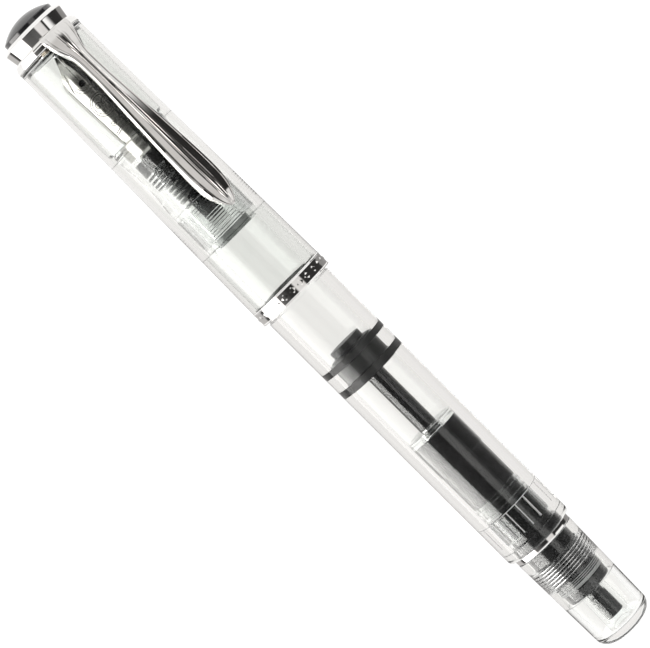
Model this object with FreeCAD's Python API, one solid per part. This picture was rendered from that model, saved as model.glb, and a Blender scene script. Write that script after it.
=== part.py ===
import FreeCAD, Part
import math
import os

# A clear piston-filling fountain pen, capped. Millimetres. The pen stands on its
# axis: +Z runs along the axis towards the crown of the cap, and the clip is at -Y.
# The origin is on the axis, half way along the straight, cylindrical stretch of the
# barrel that a hand, a pen loop or a stand takes hold of.

V = FreeCAD.Vector
ORIGIN = V(0, 0, 0)
UP = V(0, 0, 1)

# Heights along the axis, from the crown down to the end of the filler knob.
crown_top = 81.1
dome_edge = 80.0
crown_ring_top = 79.05
clip_ring_top = 76.4
cap_top = 74.95
inner_cap_top = 74.4
nib_tip = 73.8
nib_shoulder = 68.85
breather_height = 68.05
feed_tip = 71.5
section_lip = 57.5
nib_base = 54.4
collar_low = 49.3
section_shoulder = 45.0
feed_end = 41.1
cap_thread_top = 44.5
cap_thread_end = 38.75
section_end = 37.3
band_top = 27.25
cap_lip = 24.94
piston_front = 15.35
front_lip = (12.8, 13.95)
rear_lip = (9.05, 10.4)
spindle_tip = 5.0
guide_ring_top = -1.95
sleeve_top = -3.1
sleeve_step = -8.7
collar_top = -15.45
collar_rings = ((-16.58, -16.07), (-18.0, -17.46))
rib_span = (-22.42, -18.5)
collar_end = -22.75
flange_top = -23.6
nut_top = -24.6
barrel_end = -25.05
flange_end = -25.08
knob_top = -26.0
rod_end = -27.5
bush_floor = -28.4
spindle_shoulder = -28.6
stub_end = -33.75
thrust_end = -35.5
spindle_end = -40.9
knob_end = -44.02
clip_tip = 40.6
clip_crest = 48.0

# Radii.
barrel_radius = 5.85
capped_radius = 5.68
barrel_bore = 4.17
section_bore = 2.65
nib_bore = 2.35
seal_radius = 3.2
cap_thread_root = 5.4
cap_neck_radius = 4.93
cap_lip_radius = 6.5
cap_head_radius = 5.81
band_radius = 6.56
cap_bore = 5.98
cap_upper_bore = 5.3
inner_cap_bore = 4.6
crown_screw_radius = 1.66
crown_ring_radius = 5.44
dome_radius = 4.46
clip_ring_radius = 5.9
clip_foot_radius = 6.02
clip_tip_radius = 8.25
nib_radius = 2.85
nib_base_radius = 2.31
collar_bore = 1.98
feed_stem_radius = 1.5
trim_ring_radius = 5.1
knob_radius = 5.12
knob_end_radius = 4.78
knob_bore = 4.35
flange_radius = 4.35
recess_radius = 4.4
stub_root = 3.85
sleeve_bore = 3.3
sleeve_neck = 3.72
piston_waist = 4.0
piston_hub = 2.75
rod_radius = 1.48
rod_bore = 1.06
spindle_radius = 1.0
spindle_head = 1.5
thrust_radius = 3.8
socket_radius = 2.3

# Threads, fits and sheet thicknesses.
cap_thread_pitch = 0.5
knob_thread_pitch = 1.0
thread_depth = 0.28
running_gap = 0.05
turning_gap = 0.12
nib_sheet = 0.25
slit_width = 0.08
breather_radius = 0.5
rib_count = 16

# The nib's top faces this many degrees round from the clip, towards -X.
nib_turn = -27.0


def at(radius, height):
    return V(radius, 0, height)


def profile(start, *steps):
    """A closed half section. A step is a point, or a pair: a point on an arc and its end."""
    edges = []
    here = start
    for step in steps + (start,):
        if isinstance(step[0], tuple):
            via, end = step
            edges.append(Part.Arc(at(*here), at(*via), at(*end)).toShape())
        else:
            end = step
            edges.append(Part.LineSegment(at(*here), at(*end)).toShape())
        here = end
    return Part.Face(Part.Wire(edges))


def turned(start, *steps):
    return profile(start, *steps).revolve(ORIGIN, UP, 360)


def tube(outer, inner, low, high):
    return turned((inner, low), (outer, low), (outer, high), (inner, high))


def rod(radius, low, high):
    return Part.makeCylinder(radius, high - low, V(0, 0, low), UP)


def ridges(root, crest, high, low, pitch):
    """Points down a run of thread, drawn as rings, from one root to the next."""
    turns = int((high - low) / pitch)
    points = []
    for turn in range(turns):
        top = high - turn * pitch
        points += [(root, top), (crest, top - 0.4 * pitch), (crest, top - 0.6 * pitch)]
    return points + [(root, high - turns * pitch)]


def rounded(solid, radius, *heights):
    """Rounds the outermost circular edge at each height."""
    chosen = []
    for height in heights:
        rims = [e for e in solid.Edges if abs(e.BoundBox.ZMin - height) < 1e-4
                and abs(e.BoundBox.ZMax - height) < 1e-4]
        chosen.append(max(rims, key=lambda e: e.BoundBox.XMax))
    return solid.makeFillet(radius, chosen)


def ball_end(radius, edge, pole):
    """The arc from a rim to the pole of a ball-shaped end, centred on the axis."""
    middle = radius * 0.5
    rise = pole - edge
    ball = (radius ** 2 + rise ** 2) / (2 * rise)
    reach = math.copysign(math.sqrt(ball ** 2 - middle ** 2), rise)
    return ((middle, pole - ball + reach), (0, pole))


# --- cap ---------------------------------------------------------------------

def crown_dome():
    low = crown_ring_top - 1.2
    return turned((0, low), (dome_radius, low), (dome_radius, dome_edge),
                  ball_end(dome_radius, dome_edge, crown_top))


def crown_ring():
    floor = crown_ring_top - 1.2
    bevel = crown_ring_top - 0.5
    bore = crown_screw_radius + 0.02
    return turned((bore, clip_ring_top), (crown_ring_radius - 0.26, clip_ring_top),
                  (crown_ring_radius, bevel),
                  ((crown_ring_radius - 0.35, crown_ring_top - 0.15),
                   (dome_radius + 0.1, crown_ring_top)),
                  (dome_radius, crown_ring_top), (dome_radius, floor), (bore, floor))


def crown_screw():
    head = crown_ring_top - 1.2
    shank = rod(crown_screw_radius, inner_cap_top + running_gap, head)
    slot = Part.makeBox(2 * crown_screw_radius, 0.6, 0.35,
                        V(-crown_screw_radius, -0.3, inner_cap_top + running_gap))
    return shank.cut(slot)


def clip_ring():
    middle = (clip_ring_top + cap_top) / 2
    edge = clip_ring_radius - 0.25
    bore = cap_neck_radius + 0.02
    return turned((bore, cap_top), (edge, cap_top),
                  ((clip_ring_radius, middle), (edge, clip_ring_top)), (bore, clip_ring_top))


def cap_tube():
    hole = crown_screw_radius + 0.02
    mouth = cap_thread_end - 0.6
    inner_cap_seat = section_lip - 1.0
    root = cap_thread_root
    thread = ridges(root, root - thread_depth, cap_thread_top, cap_thread_end, cap_thread_pitch)
    return turned((hole, clip_ring_top), (hole, inner_cap_top),
                  (cap_upper_bore, inner_cap_top), (cap_upper_bore, inner_cap_seat),
                  (root, inner_cap_seat), *thread, (root, mouth), (cap_bore, mouth - 0.6),
                  (cap_bore, cap_lip), (cap_lip_radius - 0.25, cap_lip),
                  (cap_lip_radius - 0.25, band_top), (cap_lip_radius, band_top),
                  (cap_head_radius, cap_top), (cap_neck_radius, cap_top),
                  (cap_neck_radius, clip_ring_top))


def cap_band():
    seat = cap_lip_radius - 0.25
    middle = (band_top + cap_lip) / 2
    return turned((seat, cap_lip), (band_radius - 0.08, cap_lip),
                  ((band_radius, middle), (band_radius - 0.08, band_top)), (seat, band_top))


def inner_cap():
    wall = cap_upper_bore - running_gap
    top = inner_cap_top - running_gap
    ceiling = top - 0.22
    seal = section_lip + running_gap
    return turned((0, ceiling), (0, top), (wall, top), (wall, seal + 0.4), (wall - 0.3, seal),
                  (inner_cap_bore, seal), (inner_cap_bore, ceiling))


# --- clip --------------------------------------------------------------------

def mirrored_outline(tip, half):
    """A closed outline in the XZ plane, from its lower tip and its +X side going up."""
    left = [V(-x, 0, z) for x, z in reversed(half)]
    right = [V(x, 0, z) for x, z in half]
    lower = Part.BSplineCurve()
    lower.interpolate([left[-1], V(0, 0, tip), right[0]])
    sides = []
    for points in (right, left):
        side = Part.BSplineCurve()
        side.interpolate(points)
        sides.append(side.toShape())
    top = Part.LineSegment(right[-1], left[0]).toShape()
    return Part.Face(Part.Wire([lower.toShape(), sides[0], top, sides[1]]))


def clip_blade():
    root = clip_ring_top - 0.1
    drop = mirrored_outline(clip_tip + 0.1, [(0.9, 41.4), (2.0, 44.6), (2.2, clip_crest),
                                             (1.85, 55.5), (1.3, 65.5), (1.22, 69.5), (1.9, 72.7),
                                             (2.5, 74.6), (2.66, root)])
    plan = drop.extrude(V(0, -9.0, 0))
    foot, tip = clip_foot_radius, clip_tip_radius
    crest, bend = clip_tip_radius - 0.25, clip_foot_radius + 0.53
    side = Part.Face(Part.Wire([
        Part.LineSegment(V(0, -foot, root), V(0, -6.6, root)).toShape(),
        Part.Arc(V(0, -6.6, root), V(0, -7.3, 66.0), V(0, -crest, clip_crest)).toShape(),
        Part.Arc(V(0, -crest, clip_crest), V(0, -7.95, 44.0), V(0, -tip, clip_tip)).toShape(),
        Part.LineSegment(V(0, -tip, clip_tip), V(0, -7.6, clip_tip)).toShape(),
        Part.Arc(V(0, -7.6, clip_tip), V(0, -6.62, 43.6), V(0, -7.2, 46.5)).toShape(),
        Part.LineSegment(V(0, -7.2, 46.5), V(0, -bend, 72.6)).toShape(),
        Part.LineSegment(V(0, -bend, 72.6), V(0, -foot, 75.3)).toShape(),
        Part.LineSegment(V(0, -foot, 75.3), V(0, -foot, root)).toShape(),
    ]))
    side.translate(V(-4, 0, 0))
    return plan.common(side.extrude(V(8, 0, 0)))


# --- nib unit and section ----------------------------------------------------

def nib_shell():
    """The nib's curved sheet before it is cut to its outline."""
    tang = collar_bore - 0.02
    low = nib_base - 3.0
    step = (nib_base + 0.1, nib_base + 0.6)
    flare = (2.55, section_lip + 1.5)
    bend = (2.6, nib_shoulder + 2.8)
    tip_radius = 1.9
    return turned((tang - nib_sheet, low), (tang, low), (tang, step[0]),
                  (nib_base_radius, step[1]), (nib_base_radius, section_lip), flare,
                  (nib_radius, nib_shoulder), (bend, (tip_radius, nib_tip)),
                  (tip_radius - nib_sheet, nib_tip),
                  ((bend[0] - nib_sheet, bend[1]), (nib_radius - nib_sheet, nib_shoulder)),
                  (flare[0] - nib_sheet, flare[1]), (nib_base_radius - nib_sheet, section_lip),
                  (nib_base_radius - nib_sheet, step[1]), (tang - nib_sheet, step[0]))


def nib():
    blank = mirrored_outline(nib_base - 3.0, [(1.4, nib_base - 2.9), (1.9, nib_base),
                                              (2.35, section_lip + 1.0), (2.78, nib_shoulder - 1.2),
                                              (1.5, nib_shoulder + 2.7), (0.3, nib_tip)])
    sheet = nib_shell().common(blank.extrude(V(0, -4, 0)))
    breather = Part.makeCylinder(breather_radius, 4, V(0, 0, breather_height), V(0, -1, 0))
    slit = Part.makeBox(slit_width, 4, nib_tip - breather_height,
                        V(-slit_width / 2, -4, breather_height))
    return sheet.cut(breather).cut(slit)


def nib_tipping():
    bead = Part.makeSphere(0.4, V(0, -1.72, nib_tip - 0.22))
    slit = Part.makeBox(slit_width, 2, 2, V(-slit_width / 2, -3, nib_tip - 1.2))
    return bead.cut(nib_shell()).cut(slit)


def feed():
    inside = collar_bore - nib_sheet - 0.04
    comb = nib_bore - running_gap
    neck = collar_low - running_gap
    stem = turned((0, feed_end), (feed_stem_radius, feed_end),
                  (feed_stem_radius, section_shoulder),
                  (comb, section_shoulder), (comb, neck), (inside, neck),
                  (inside, section_lip), (0, section_lip))
    front = turned((0, section_lip), (inside, section_lip), (2.2, section_lip + 2.0),
                   (2.3, feed_tip - 5.5), (1.6, feed_tip - 1.3), (0.7, feed_tip), (0, feed_tip))
    front = front.common(Part.makeBox(2.7, 6, 20, V(-1.35, -3, section_lip)))
    return stem.fuse(front).removeSplitter()


def nib_collar():
    return tube(nib_bore - 0.02, collar_bore, collar_low, nib_base)


def nib_seal():
    return tube(seal_radius, section_bore - 0.35, section_end, cap_thread_end)


def grip_section():
    spigot = barrel_bore - 0.02
    waist = (section_shoulder + section_lip) / 2
    return turned((section_bore, cap_thread_end), (seal_radius, cap_thread_end),
                  (seal_radius, section_end), (spigot, section_end),
                  (spigot, section_shoulder), (4.9, section_shoulder),
                  ((4.42, waist), (4.72, section_lip - 0.5)), (4.72, section_lip - 0.25),
                  (4.5, section_lip), (nib_bore, section_lip), (nib_bore, collar_low),
                  (section_bore, collar_low))


# --- barrel ------------------------------------------------------------------

def barrel():
    crest = cap_upper_bore - thread_depth
    root = crest - thread_depth
    thread = ridges(root, crest, cap_thread_top, cap_thread_end, cap_thread_pitch)
    cap_seat = cap_lip - 0.4
    body = turned((barrel_bore, barrel_end), (barrel_radius, barrel_end),
                  (barrel_radius, cap_seat), (capped_radius, cap_seat),
                  (capped_radius, cap_thread_end - 1.6), (crest, cap_thread_end - 0.7),
                  (root, cap_thread_end - 0.3), *reversed(thread), (root, section_shoulder),
                  (barrel_bore, section_shoulder))
    recess = rod(recess_radius, barrel_end - 1, flange_top)
    return rounded(body, 0.6, barrel_end).cut(recess)


def guide_ring():
    return tube(barrel_bore - 0.02, rod_radius + running_gap, sleeve_top, guide_ring_top)


def guide_sleeve():
    wide = barrel_bore - 0.06
    slim = barrel_bore - 0.17
    return turned((sleeve_bore, sleeve_top), (wide, sleeve_top), (wide, sleeve_step),
                  (slim, sleeve_step), (slim, collar_top), (sleeve_neck, collar_top),
                  (sleeve_neck, flange_top), (sleeve_bore, flange_top))


def ribbed_collar():
    inner = sleeve_neck + 0.02
    wall = barrel_bore - 0.22
    crest = barrel_bore - 0.02
    points = [(inner, collar_end), (wall, collar_end)]
    for low, high in reversed(collar_rings):
        points += [(wall, low), (crest, low), (crest, high), (wall, high)]
    body = turned(*points, (wall, collar_top), (inner, collar_top))
    ribs = []
    for index in range(rib_count):
        rib = Part.makeBox(0.3, 0.3, rib_span[1] - rib_span[0], V(wall - 0.1, -0.15, rib_span[0]))
        rib.rotate(ORIGIN, UP, (index + 0.5) * 360.0 / rib_count)
        ribs.append(rib)
    return body.fuse(ribs).removeSplitter()


def rear_bush():
    """Screws and glues into the end of the barrel; the knob runs on its thread."""
    hole = spindle_head + running_gap
    thread = ridges(stub_root, stub_root + thread_depth, knob_top - 1.8, stub_end + 1.8,
                    knob_thread_pitch)
    return turned((sleeve_bore, flange_top), (flange_radius, flange_top),
                  (flange_radius, flange_end), (stub_root, flange_end), *thread,
                  (stub_root, stub_end), (hole, stub_end), (hole, bush_floor),
                  (sleeve_bore, bush_floor))


def knob_trim_ring():
    low = knob_top + 0.02
    ring = tube(trim_ring_radius, stub_root + 0.02, low, flange_end)
    return rounded(ring, 0.12, low, flange_end)


# --- piston and filler -------------------------------------------------------

def piston_core():
    back = rear_lip[0]
    step = front_lip[1] - 0.25
    return turned((0, back), (3.3, back), (3.3, step), (piston_hub, step),
                  (piston_hub, piston_front), (0, piston_front))


def piston_seal():
    lip = barrel_bore - 0.03
    low, high = rear_lip[0], front_lip[1]
    return turned((3.3, low), (lip, low), (lip, rear_lip[1]), (piston_waist, rear_lip[1]),
                  (piston_waist, front_lip[0]), (lip, front_lip[0]), (lip, high), (3.3, high))


def piston_rod():
    top = rear_lip[0]
    bore_end = top - 1.5
    return turned((rod_bore, rod_end), (rod_radius, rod_end), (rod_radius, top), (0, top),
                  (0, bore_end), (rod_bore, bore_end))


def rod_nut():
    nut = tube(sleeve_bore - running_gap, rod_radius, rod_end, nut_top)
    for side in (-1, 1):
        nut = nut.cut(Part.makeBox(7, 1, 4, V(-3.5, side * 3.4 - 0.5, rod_end - 0.5)))
    return nut


def spindle():
    low = spindle_end + running_gap
    return turned((0, low), (spindle_head, low), (spindle_head, spindle_shoulder),
                  (spindle_radius, spindle_shoulder), (spindle_radius, spindle_tip),
                  (0, spindle_tip))


def thrust_washer():
    """Sits on the spindle against the knob's socket, and travels out with the knob."""
    return tube(thrust_radius, spindle_head + turning_gap, thrust_end, stub_end - running_gap)


def knob_socket():
    """The clear boss inside the knob that grips the spindle."""
    return tube(socket_radius, spindle_head, spindle_end, thrust_end - turning_gap)


def filler_knob():
    top = knob_top - running_gap
    rim = (3.2, knob_end + 0.15)
    return turned((knob_bore, top), (knob_radius, top), (knob_end_radius, knob_end + 1.1),
                  ((knob_end_radius - 0.5, knob_end + 0.45), rim),
                  ball_end(*rim, knob_end),
                  (0, spindle_end), (3.9, spindle_end), (knob_bore - 0.1, thrust_end),
                  (knob_bore, thrust_end))


def turned_nib_unit(shape):
    piece = shape.copy()
    piece.rotate(ORIGIN, UP, nib_turn)
    return piece


def build():
    return {
        "crown_dome": crown_dome(),
        "crown_ring": crown_ring(),
        "crown_screw": crown_screw(),
        "clip_ring": clip_ring(),
        "clip_blade": clip_blade(),
        "cap_tube": cap_tube(),
        "cap_band": cap_band(),
        "inner_cap": inner_cap(),
        "nib": turned_nib_unit(nib()),
        "nib_tipping": turned_nib_unit(nib_tipping()),
        "feed": turned_nib_unit(feed()),
        "nib_collar": nib_collar(),
        "nib_seal": nib_seal(),
        "grip_section": grip_section(),
        "barrel": barrel(),
        "guide_ring": guide_ring(),
        "guide_sleeve": guide_sleeve(),
        "ribbed_collar": ribbed_collar(),
        "rear_bush": rear_bush(),
        "knob_trim_ring": knob_trim_ring(),
        "piston_core": piston_core(),
        "piston_seal": piston_seal(),
        "piston_rod": piston_rod(),
        "rod_nut": rod_nut(),
        "spindle": spindle(),
        "thrust_washer": thrust_washer(),
        "knob_socket": knob_socket(),
        "filler_knob": filler_knob(),
    }


os.makedirs("parts", exist_ok=True)
for name, shape in build().items():
    shape.exportStep(os.path.join("parts", name + ".step"))
    print(name, "valid" if shape.isValid() else "NOT VALID", len(shape.Solids),
          round(shape.Volume, 2))
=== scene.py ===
import bmesh
import bpy
import math
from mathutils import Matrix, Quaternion, Vector


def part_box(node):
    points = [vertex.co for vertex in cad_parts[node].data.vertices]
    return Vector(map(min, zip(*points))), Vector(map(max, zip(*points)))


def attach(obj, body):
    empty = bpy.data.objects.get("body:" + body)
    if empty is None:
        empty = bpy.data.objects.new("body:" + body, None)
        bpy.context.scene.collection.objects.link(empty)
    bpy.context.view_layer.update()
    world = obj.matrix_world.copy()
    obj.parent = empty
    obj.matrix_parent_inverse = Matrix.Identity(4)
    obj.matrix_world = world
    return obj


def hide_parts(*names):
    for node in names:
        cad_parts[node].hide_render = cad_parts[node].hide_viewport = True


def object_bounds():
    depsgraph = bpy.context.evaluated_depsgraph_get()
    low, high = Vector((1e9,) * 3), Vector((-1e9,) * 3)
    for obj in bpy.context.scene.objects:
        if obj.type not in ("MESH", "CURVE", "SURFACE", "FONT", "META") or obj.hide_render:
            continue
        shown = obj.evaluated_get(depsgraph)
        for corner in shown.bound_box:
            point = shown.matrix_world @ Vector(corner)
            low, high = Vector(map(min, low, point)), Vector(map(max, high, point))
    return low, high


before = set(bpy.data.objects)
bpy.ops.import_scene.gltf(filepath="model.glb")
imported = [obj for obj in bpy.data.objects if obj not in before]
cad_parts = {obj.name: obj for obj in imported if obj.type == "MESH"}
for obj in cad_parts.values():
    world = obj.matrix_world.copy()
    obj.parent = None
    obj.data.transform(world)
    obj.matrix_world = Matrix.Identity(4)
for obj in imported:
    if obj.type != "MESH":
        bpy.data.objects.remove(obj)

# Every size below is in millimetres on the pen: +Z runs to the crown, the clip is at -Y.
mm = 0.001
cadLow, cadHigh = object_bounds()
collection = bpy.context.scene.collection
print("frame loaded, box", [round(v, 4) for v in (*cadLow, *cadHigh)])


def span(node):
    low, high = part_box(node)
    return low[2] / mm, high[2] / mm, high[0] / mm


studio = {
    "aimAboveMiddle": 0.46,     # along the axis, from the middle of the pen
    "sideStep": -0.11,          # puts the pen just off the middle of the view
    "distance": 420.8,
    "azimuth": -21.0,
    "elevation": 3.5,
    "roll": -45.07,
    "lens": 160.95,
    "floorGap": 60.0,
    "floorSize": 4000.0,
    "whiteLight": 1.1,
    "softbox": 4.5,             # brightness of the brightest card
    "open": 0.24,               # share of it seen past the cards' ends and straight through
    "cardTop": (0.2, 0.3),      # how far up a card fades out, as the sine of the elevation
    "cardFoot": (-0.25, -0.35),
    "frontCards": (-104, 98),   # cards that stand on the camera's side, in degrees
    "backRise": (-0.01, 0.03),  # above this the back is open to mirror reflections
    "sideCard": (46, 94),       # this stretch is shorter than the other cards
    "sideTop": (0.1, 0.14),
    "sideFoot": (-0.2, -0.23),
}

# What stands round the pen: degrees from the camera towards the clip's side, then the
# brightness (share of the softbox) seen in shiny surfaces, and seen through clear ones.
# Two stops close together make a card's edge.
cards = [
    (-180, 0.13, 0.2), (-121, 0.12, 0.195), (-117, 0.02, 0.195), (-106, 0.016, 0.26),
    (-102, 1.0, 1.0), (-48, 1.0, 1.0), (-41, 0.035, 0.045), (-12, 0.007, 0.025),
    (8, 0.007, 0.025), (12, 0.19, 0.19), (36, 0.17, 0.17), (40, 0.007, 0.025),
    (98, 0.007, 0.05), (114, 0.01, 0.19), (118, 0.06, 0.195), (180, 0.08, 0.2),
]


def makeCamera():
    low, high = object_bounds()
    middle = (low.z + high.z) / 2 + studio["aimAboveMiddle"] * mm
    turn, rise = math.radians(studio["azimuth"]), math.radians(studio["elevation"])
    back = Vector((math.sin(turn) * math.cos(rise), -math.cos(turn) * math.cos(rise),
                   math.sin(rise)))
    side = Vector((math.cos(turn), math.sin(turn), 0)) * studio["sideStep"] * mm
    data = bpy.data.cameras.new("camera")
    data.lens = studio["lens"]
    data.clip_start, data.clip_end = 0.01, 20
    camera = bpy.data.objects.new("camera", data)
    camera.rotation_mode = "QUATERNION"
    camera.location = Vector((0, 0, middle)) + side + back * studio["distance"] * mm
    roll = Quaternion((0, 0, 1), math.radians(studio["roll"]))
    camera.rotation_quaternion = (-back).to_track_quat("-Z", "Y") @ roll
    collection.objects.link(camera)
    bpy.context.scene.camera = camera


def link(tree, start, startSocket, end, endSocket):
    tree.links.new(start.outputs[startSocket], end.inputs[endSocket])


def mathNode(tree, operation, first, second=None):
    # a math node; its inputs are numbers or (node, socket) pairs
    node = tree.nodes.new("ShaderNodeMath")
    node.operation = operation
    for index, value in enumerate((first, second)):
        if isinstance(value, tuple):
            tree.links.new(value[0].outputs[value[1]], node.inputs[index])
        elif value is not None:
            node.inputs[index].default_value = value
    return node


def cardRamp(tree, place, column):
    # the brightness round the pen, from one column of the list of cards
    ramp = tree.nodes.new("ShaderNodeValToRGB")
    link(tree, place, 0, ramp, "Fac")
    stops = ramp.color_ramp.elements
    stops.remove(stops[-1])
    for index, card in enumerate(cards):
        stop = stops[0] if index == 0 else stops.new(1.0)
        stop.position = card[0] / 360 + 0.5
        stop.color = (card[column], card[column] * 0.97, card[column] * 0.95, 1)
    light = tree.nodes.new("ShaderNodeBackground")
    light.inputs["Strength"].default_value = studio["softbox"]
    link(tree, ramp, "Color", light, "Color")
    return light


def fade(tree, source, start, end):
    # rises smoothly from 0 at the start to 1 at the end
    node = tree.nodes.new("ShaderNodeMapRange")
    node.interpolation_type = "SMOOTHSTEP"
    node.inputs["From Min"].default_value = start
    node.inputs["From Max"].default_value = end
    link(tree, source[0], source[1], node, "Value")
    return node


def between(tree, place, start, end):
    # 1 between two directions round the pen, in degrees, with a narrow fade at each
    first, last, blur = start / 360 + 0.5, end / 360 + 0.5, 0.005
    rise = fade(tree, (place, 0), first - blur, first + blur)
    fall = fade(tree, (place, 0), last + blur, last - blur)
    return mathNode(tree, "MULTIPLY", (rise, 0), (fall, 0))


def makeWorld():
    world = bpy.data.worlds.new("softStudio")
    bpy.context.scene.world = world
    world.use_nodes = True
    tree = world.node_tree
    tree.nodes.clear()
    direction = tree.nodes.new("ShaderNodeTexCoord")
    split = tree.nodes.new("ShaderNodeSeparateXYZ")
    link(tree, direction, "Generated", split, 0)
    flipped = mathNode(tree, "MULTIPLY", (split, "Y"), -1.0)
    angle = mathNode(tree, "ARCTAN2", (split, "X"), (flipped, 0))
    turns = mathNode(tree, "DIVIDE", (angle, 0), 2 * math.pi)
    centred = mathNode(tree, "ADD", (turns, 0), 0.5 - studio["azimuth"] / 360 + 1)
    place = mathNode(tree, "FRACT", (centred, 0))
    height = (split, "Z")
    above = fade(tree, height, *studio["cardTop"])
    below = fade(tree, height, *studio["cardFoot"])
    past = mathNode(tree, "MAXIMUM", (above, 0), (below, 0))
    front = between(tree, place, *studio["frontCards"])
    behind = mathNode(tree, "SUBTRACT", 1.0, (front, 0))
    risen = fade(tree, height, *studio["backRise"])
    high = mathNode(tree, "MULTIPLY", (behind, 0), (risen, 0))
    side = between(tree, place, *studio["sideCard"])
    sunk = fade(tree, height, *studio["sideFoot"])
    raised = fade(tree, height, *studio["sideTop"])
    ends = mathNode(tree, "MAXIMUM", (sunk, 0), (raised, 0))
    low = mathNode(tree, "MULTIPLY", (side, 0), (ends, 0))
    extra = mathNode(tree, "MAXIMUM", (high, 0), (low, 0))
    both = mathNode(tree, "MAXIMUM", (extra, 0), (past, 0))
    openLight = tree.nodes.new("ShaderNodeBackground")
    openLight.inputs["Color"].default_value = (1, 0.99, 0.98, 1)
    openLight.inputs["Strength"].default_value = studio["softbox"] * studio["open"]
    last = tree.nodes.new("ShaderNodeBackground")
    last.inputs["Color"].default_value = (1, 1, 1, 1)
    last.inputs["Strength"].default_value = studio["whiteLight"]
    path = tree.nodes.new("ShaderNodeLightPath")
    # light that comes straight through the clear walls, with no reflection on its way
    straight = mathNode(tree, "LESS_THAN", (path, "Glossy Depth"), 0.5)
    ahead = mathNode(tree, "MULTIPLY", (front, 0), (straight, 0))
    through = mathNode(tree, "MAXIMUM", (past, 0), (ahead, 0))
    for ray, column, share in (("Is Glossy Ray", 1, both),
                               ("Is Transmission Ray", 2, through)):
        seen = tree.nodes.new("ShaderNodeMixShader")
        link(tree, share, 0, seen, 0)
        link(tree, cardRamp(tree, place, column), 0, seen, 1)
        link(tree, openLight, 0, seen, 2)
        mix = tree.nodes.new("ShaderNodeMixShader")
        link(tree, path, ray, mix, 0)
        link(tree, last, 0, mix, 1)
        link(tree, seen, 0, mix, 2)
        last = mix
    output = tree.nodes.new("ShaderNodeOutputWorld")
    link(tree, last, 0, output, "Surface")


def makeFloor(material):
    half = studio["floorSize"] * mm / 2
    height = cadLow.z - studio["floorGap"] * mm
    mesh = bpy.data.meshes.new("floor")
    mesh.from_pydata([(-half, -half, height), (half, -half, height), (half, half, height),
                      (-half, half, height)], [], [(0, 1, 2, 3)])
    floor = bpy.data.objects.new("floor", mesh)
    mesh.materials.append(material)
    floor.visible_glossy = False
    floor.visible_transmission = False
    collection.objects.link(floor)


def newFinish(name, settings):
    # a Principled material whose fixed values sit on the shader's own sockets
    material = bpy.data.materials.new(name)
    material.use_nodes = True
    shader = material.node_tree.nodes["Principled BSDF"]
    for socket, value in settings.items():
        shader.inputs[socket].default_value = value
    return material, shader


def addGrain(material, shader, scale, rough, bump, stretch=(1, 1, 1)):
    # fine unevenness in gloss and surface, from noise on the piece's own coordinates
    tree = material.node_tree
    coordinates = tree.nodes.new("ShaderNodeTexCoord")
    mapping = tree.nodes.new("ShaderNodeMapping")
    mapping.inputs["Scale"].default_value = stretch
    link(tree, coordinates, "Object", mapping, "Vector")
    noise = tree.nodes.new("ShaderNodeTexNoise")
    noise.inputs["Scale"].default_value = scale
    noise.inputs["Detail"].default_value = 4
    link(tree, mapping, "Vector", noise, "Vector")
    spread = tree.nodes.new("ShaderNodeMapRange")
    spread.inputs["To Min"].default_value = rough[0]
    spread.inputs["To Max"].default_value = rough[1]
    link(tree, noise, "Fac", spread, "Value")
    link(tree, spread, "Result", shader, "Roughness")
    if bump:
        relief = tree.nodes.new("ShaderNodeBump")
        relief.inputs["Strength"].default_value = bump
        relief.inputs["Distance"].default_value = 0.01 * mm
        link(tree, noise, "Fac", relief, "Height")
        link(tree, relief, "Normal", shader, "Normal")
    return noise


def addTint(material, shader, noise, dark, light):
    # lets the colour drift a little between two shades with the same noise
    tree = material.node_tree
    ramp = tree.nodes.new("ShaderNodeValToRGB")
    ramp.color_ramp.elements[0].position = 0.35
    ramp.color_ramp.elements[0].color = (*dark, 1)
    ramp.color_ramp.elements[1].position = 0.65
    ramp.color_ramp.elements[1].color = (*light, 1)
    link(tree, noise, "Fac", ramp, "Fac")
    link(tree, ramp, "Color", shader, "Base Color")


def grained(name, settings, scale, rough, bump, dark, light, stretch=(1, 1, 1)):
    material, shader = newFinish(name, settings)
    noise = addGrain(material, shader, scale, rough, bump, stretch)
    addTint(material, shader, noise, dark, light)
    return material


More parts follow.
